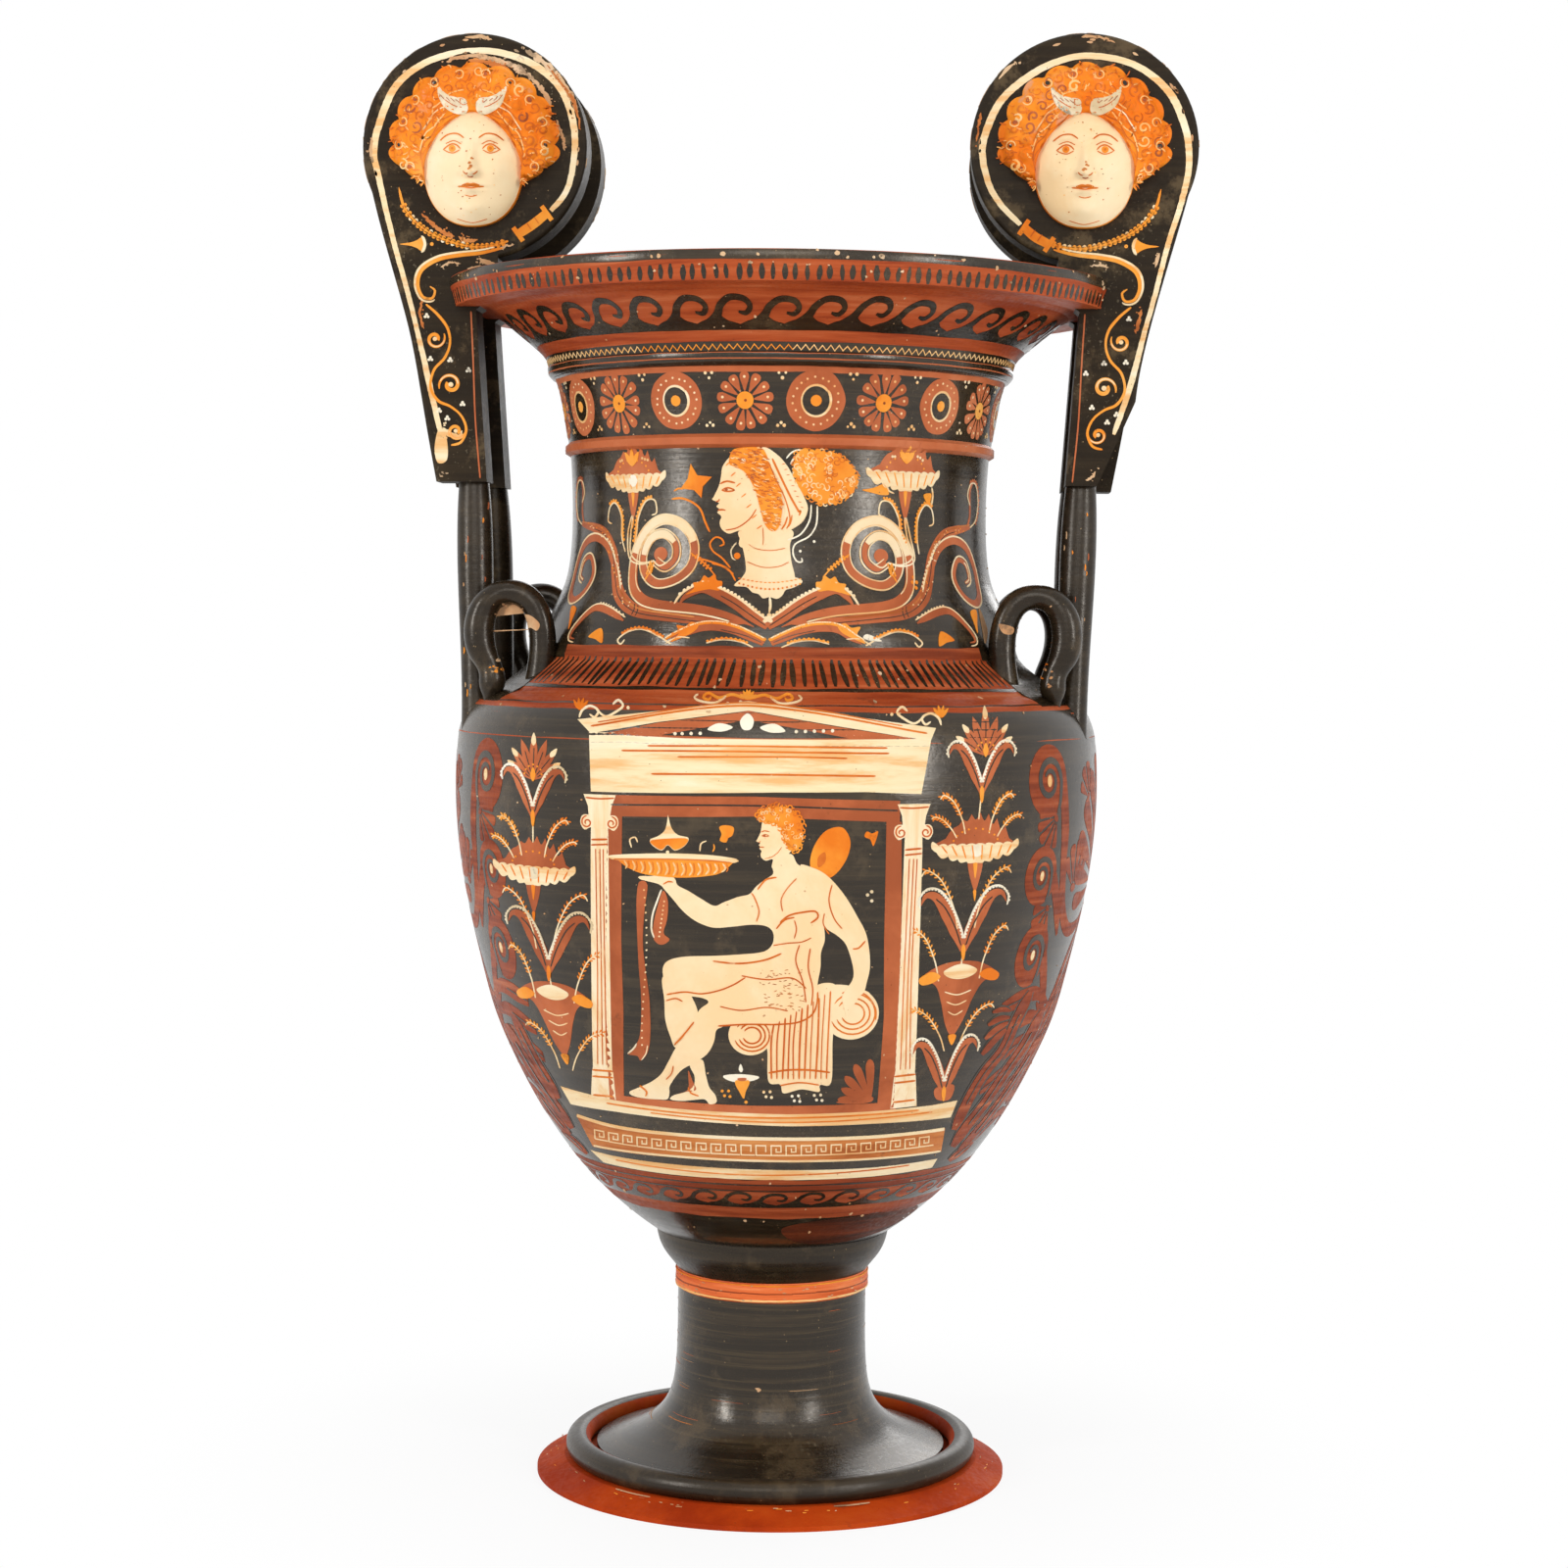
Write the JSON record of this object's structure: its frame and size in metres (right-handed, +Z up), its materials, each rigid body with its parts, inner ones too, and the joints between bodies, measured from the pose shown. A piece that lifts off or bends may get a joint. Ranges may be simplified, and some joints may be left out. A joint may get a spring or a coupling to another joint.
{
  "type": "volute krater",
  "caption": "Large pottery mixing bowl on a stemmed foot, with tall flanged volute handles, moulded masks and swan's-neck loops on the shoulder.",
  "frame": {"origin": "centre of the underside of the foot plate, on the axis that the vase was thrown on", "axes": "+Z up along the throwing axis; the painted front faces -Y; the handles stand at +X and -X"},
  "size_m": [0.495, 0.4036, 0.869],
  "materials": {
    "black_slip": "semi-gloss",
    "red_clay": "satin",
    "orange_clay": "satin",
    "cream_slip": "matt"
  },
  "bodies": {
    "root": {"bowl": "black_slip", "collar": "black_slip", "flange_front_left": "black_slip", "flange_front_right": "black_slip", "flange_rear_left": "black_slip", "flange_rear_right": "black_slip", "foot_plate": "orange_clay", "foot_ring": "black_slip", "handle_web_left": "black_slip", "handle_web_right": "black_slip", "lip_flare": "red_clay", "lip_moulding": "red_clay", "mask_front_left": "cream_slip", "mask_front_right": "cream_slip", "mask_rear_left": "cream_slip", "mask_rear_right": "cream_slip", "neck_band": "red_clay", "neck_lower": "black_slip", "neck_upper": "black_slip", "pedestal_stem": "black_slip", "rim": "red_clay", "shoulder": "black_slip", "stem_fillet": "red_clay", "strut_front_left": "black_slip", "strut_front_right": "black_slip", "strut_rear_left": "black_slip", "strut_rear_right": "black_slip", "swan_neck_front_left": "black_slip", "swan_neck_front_right": "black_slip", "swan_neck_rear_left": "black_slip", "swan_neck_rear_right": "black_slip", "volute_drum_left": "black_slip", "volute_drum_right": "black_slip"}
  },
  "joints": []
}
